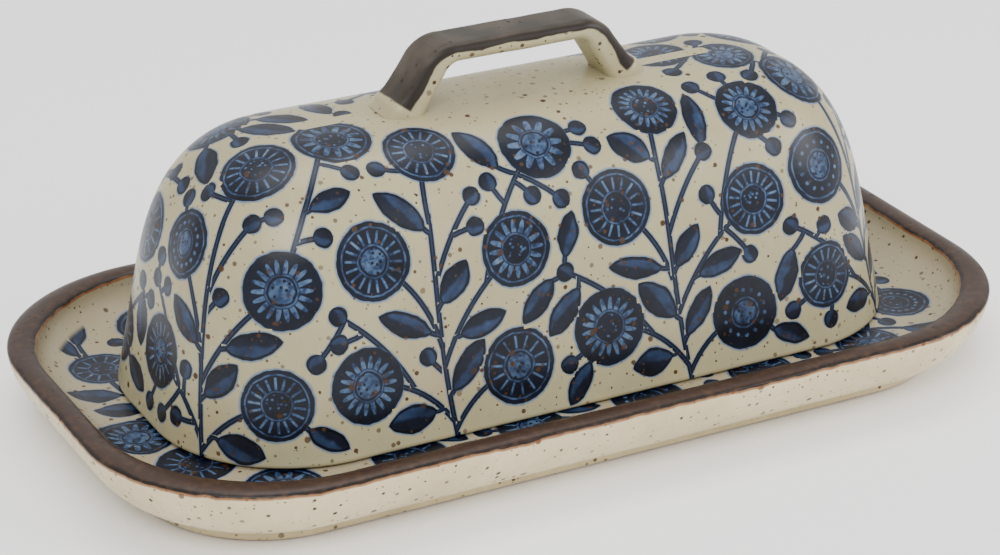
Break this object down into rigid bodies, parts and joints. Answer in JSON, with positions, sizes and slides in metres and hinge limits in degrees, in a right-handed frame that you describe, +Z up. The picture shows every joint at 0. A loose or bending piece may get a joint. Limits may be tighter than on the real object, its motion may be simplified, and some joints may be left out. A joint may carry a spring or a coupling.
{
  "type": "butter dish",
  "caption": "Stoneware butter dish: a footed tray with a raised rim and a domed lift-off cover with a strap handle.",
  "frame": {"origin": "middle of the tray's foot ring, on the surface that the dish stands on", "axes": "+Z up, +X along the length of the tray, +Y to the back"},
  "size_m": [0.197, 0.109, 0.0756],
  "materials": {
    "tray_glaze": "satin cream glaze with fine iron speckle, a dark brown bare rim and an indigo painted well",
    "cover_glaze": "satin grey-cream glaze with fine iron speckle and an indigo painted vine",
    "handle_glaze": "semi-matte brown-grey glaze with dark specks and browner edges"
  },
  "bodies": {
    "tray": {"tray": "tray_glaze"},
    "cover": {"cover": "cover_glaze", "handle": "handle_glaze"}
  },
  "joints": [
    {"name": "cover_lift", "type": "slide", "parent": "tray", "child": "cover", "axis": [0, 0, 1], "range_m": [0, 0.12]}
  ]
}
